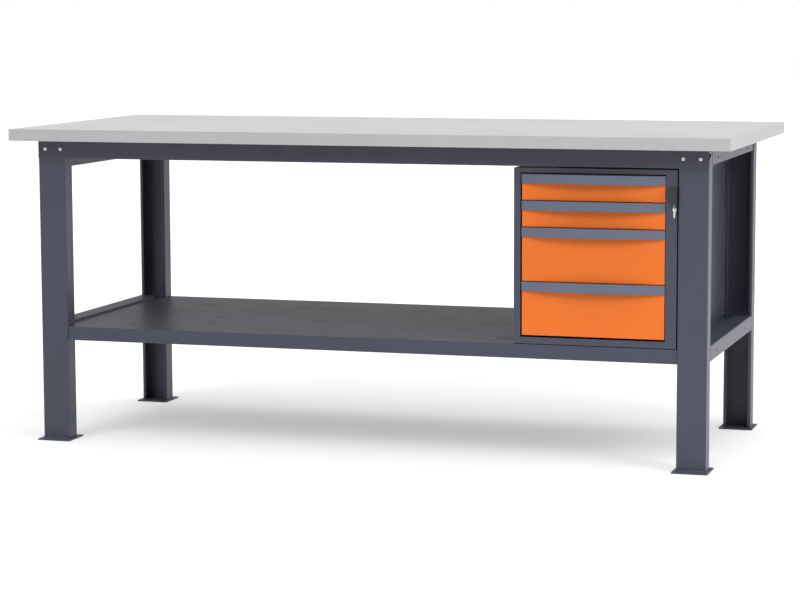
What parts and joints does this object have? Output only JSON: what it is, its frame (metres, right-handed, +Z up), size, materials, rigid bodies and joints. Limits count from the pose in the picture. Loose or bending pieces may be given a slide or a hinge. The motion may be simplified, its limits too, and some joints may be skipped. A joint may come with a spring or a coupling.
{
  "type": "workbench with drawers",
  "caption": "Steel workbench with a sheet-clad top, channel legs on foot plates, a low shelf and a cabinet of lockable drawers with bowed pull handles.",
  "frame": {"origin": "on the floor under the middle of the worktop", "axes": "+X along the worktop towards the drawer cabinet, +Y from the front to the back, +Z up"},
  "size_m": [2, 0.9, 0.87],
  "materials": {
    "galvanised_top": "bright galvanised sheet, slightly dulled",
    "plywood": "bare plywood core, covered by the sheet",
    "grey_paint": "blue-grey powder coat, fine orange peel",
    "handle_paint": "lighter blue-grey powder coat",
    "orange_paint": "orange powder coat, satin",
    "zinc": "bright zinc plate",
    "chrome": "polished nickel-chrome",
    "black_plastic": "moulded, satin",
    "key_steel": "nickel-plated"
  },
  "bodies": {
    "frame": {"worktop_sheet": "galvanised_top", "worktop_board": "plywood", "rail_front": "grey_paint", "rail_back": "grey_paint", "shelf": "grey_paint", "cabinet_body": "grey_paint", "cabinet_back": "grey_paint", "leg_front_left": "grey_paint", "leg_front_right": "grey_paint", "leg_back_left": "grey_paint", "leg_back_right": "grey_paint", "foot_front_left": "grey_paint", "foot_front_right": "grey_paint", "foot_back_left": "grey_paint", "foot_back_right": "grey_paint", "side_rail_top_left": "grey_paint", "side_rail_top_right": "grey_paint", "side_rail_low_left": "grey_paint", "side_rail_low_right": "grey_paint", "drawer_1_runner_left": "zinc", "drawer_1_runner_right": "zinc", "drawer_2_runner_left": "zinc", "drawer_2_runner_right": "zinc", "drawer_3_runner_left": "zinc", "drawer_3_runner_right": "zinc", "drawer_4_runner_left": "zinc", "drawer_4_runner_right": "zinc", "bolt_1": "zinc", "bolt_2": "zinc", "bolt_3": "zinc", "bolt_4": "zinc", "lock_housing": "chrome"},
    "drawer_1": {"drawer_1_front": "orange_paint", "drawer_1_handle": "handle_paint", "drawer_1_box": "handle_paint", "drawer_1_slider_left": "zinc", "drawer_1_slider_right": "zinc"},
    "drawer_2": {"drawer_2_front": "orange_paint", "drawer_2_handle": "handle_paint", "drawer_2_box": "handle_paint", "drawer_2_slider_left": "zinc", "drawer_2_slider_right": "zinc"},
    "drawer_3": {"drawer_3_front": "orange_paint", "drawer_3_handle": "handle_paint", "drawer_3_box": "handle_paint", "drawer_3_slider_left": "zinc", "drawer_3_slider_right": "zinc"},
    "drawer_4": {"drawer_4_front": "orange_paint", "drawer_4_handle": "handle_paint", "drawer_4_box": "handle_paint", "drawer_4_slider_left": "zinc", "drawer_4_slider_right": "zinc"},
    "lock_core": {"lock_barrel": "chrome", "key_blade": "key_steel", "key_head": "black_plastic"},
    "spare_key_set": {"key_ring": "key_steel", "spare_key": "key_steel"}
  },
  "joints": [
    {"name": "drawer_1_slide", "type": "slide", "parent": "frame", "child": "drawer_1", "axis": [0, -1, 0], "range_m": [0, 0.56]},
    {"name": "drawer_2_slide", "type": "slide", "parent": "frame", "child": "drawer_2", "axis": [0, -1, 0], "range_m": [0, 0.56]},
    {"name": "drawer_3_slide", "type": "slide", "parent": "frame", "child": "drawer_3", "axis": [0, -1, 0], "range_m": [0, 0.56]},
    {"name": "drawer_4_slide", "type": "slide", "parent": "frame", "child": "drawer_4", "axis": [0, -1, 0], "range_m": [0, 0.56]},
    {"name": "lock_turn", "type": "hinge", "parent": "frame", "child": "lock_core", "pos_m": [0.84, -0.392, 0.723], "axis": [0, -1, 0], "range_deg": [0, 90]},
    {"name": "spare_key_hang", "type": "hinge", "parent": "lock_core", "child": "spare_key_set", "pos_m": [0.85, -0.4055, 0.701], "axis": [0, -1, 0], "range_deg": [-90, 0]}
  ],
  "couplings": [
    {"joint": "spare_key_hang", "follows": "lock_turn", "ratio": -1}
  ]
}
